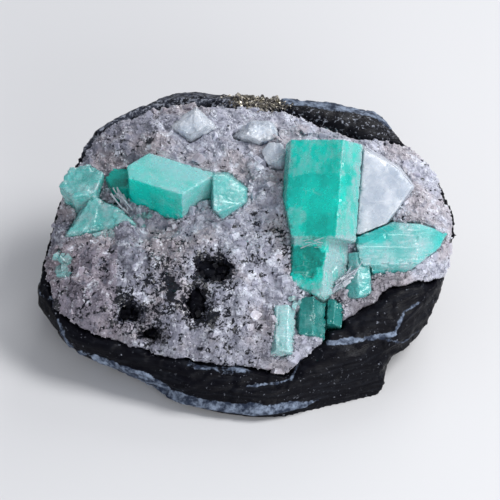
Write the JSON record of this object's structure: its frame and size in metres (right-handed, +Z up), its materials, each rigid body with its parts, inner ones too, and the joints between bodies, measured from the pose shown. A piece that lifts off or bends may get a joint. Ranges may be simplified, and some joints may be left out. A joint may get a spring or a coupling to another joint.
{
  "type": "emerald in matrix",
  "caption": "Mineral specimen that rests on its flat underside: green hexagonal emerald prisms and a white calcite rhomb in a pale calcite crust on black shale.",
  "frame": {"origin": "on the flat underside, below the middle of the crystal face", "axes": "+Z up from the underside, -Y toward the viewer who sees the crystal face, +X to that viewer's right along the rock's length"},
  "size_m": [0.0838, 0.066, 0.0408],
  "materials": {
    "shale": "black, finely bedded, dull satin on its breaks, with white calcite veins",
    "crust": "coarse glittering pinkish grey calcite grains",
    "emerald": "translucent saturated green, glassy faces with fine lengthwise striations",
    "pale_emerald": "cloudy pale green, satin faces with fine striations",
    "calcite": "cloudy bluish white, pearly cleavage faces",
    "pyrite": "dull brassy metallic"
  },
  "bodies": {
    "root": {"shale_matrix": "shale", "calcite_crust": "crust", "emerald_tall_prism": "emerald", "emerald_small_prism_middle": "emerald", "emerald_stout_prism": "emerald", "emerald_small_prism_right": "emerald", "emerald_stub_prism": "pale_emerald", "emerald_small_prism_left": "pale_emerald", "emerald_striated_block": "pale_emerald", "emerald_stout_neighbour": "pale_emerald", "emerald_pale_mass": "pale_emerald", "emerald_small_patch": "pale_emerald", "calcite_rhomb_large": "calcite", "calcite_crystal_by_prism": "calcite", "calcite_crystal_upper_left": "calcite", "calcite_crystal_upper_middle": "calcite", "pyrite_cluster": "pyrite"}
  },
  "joints": []
}
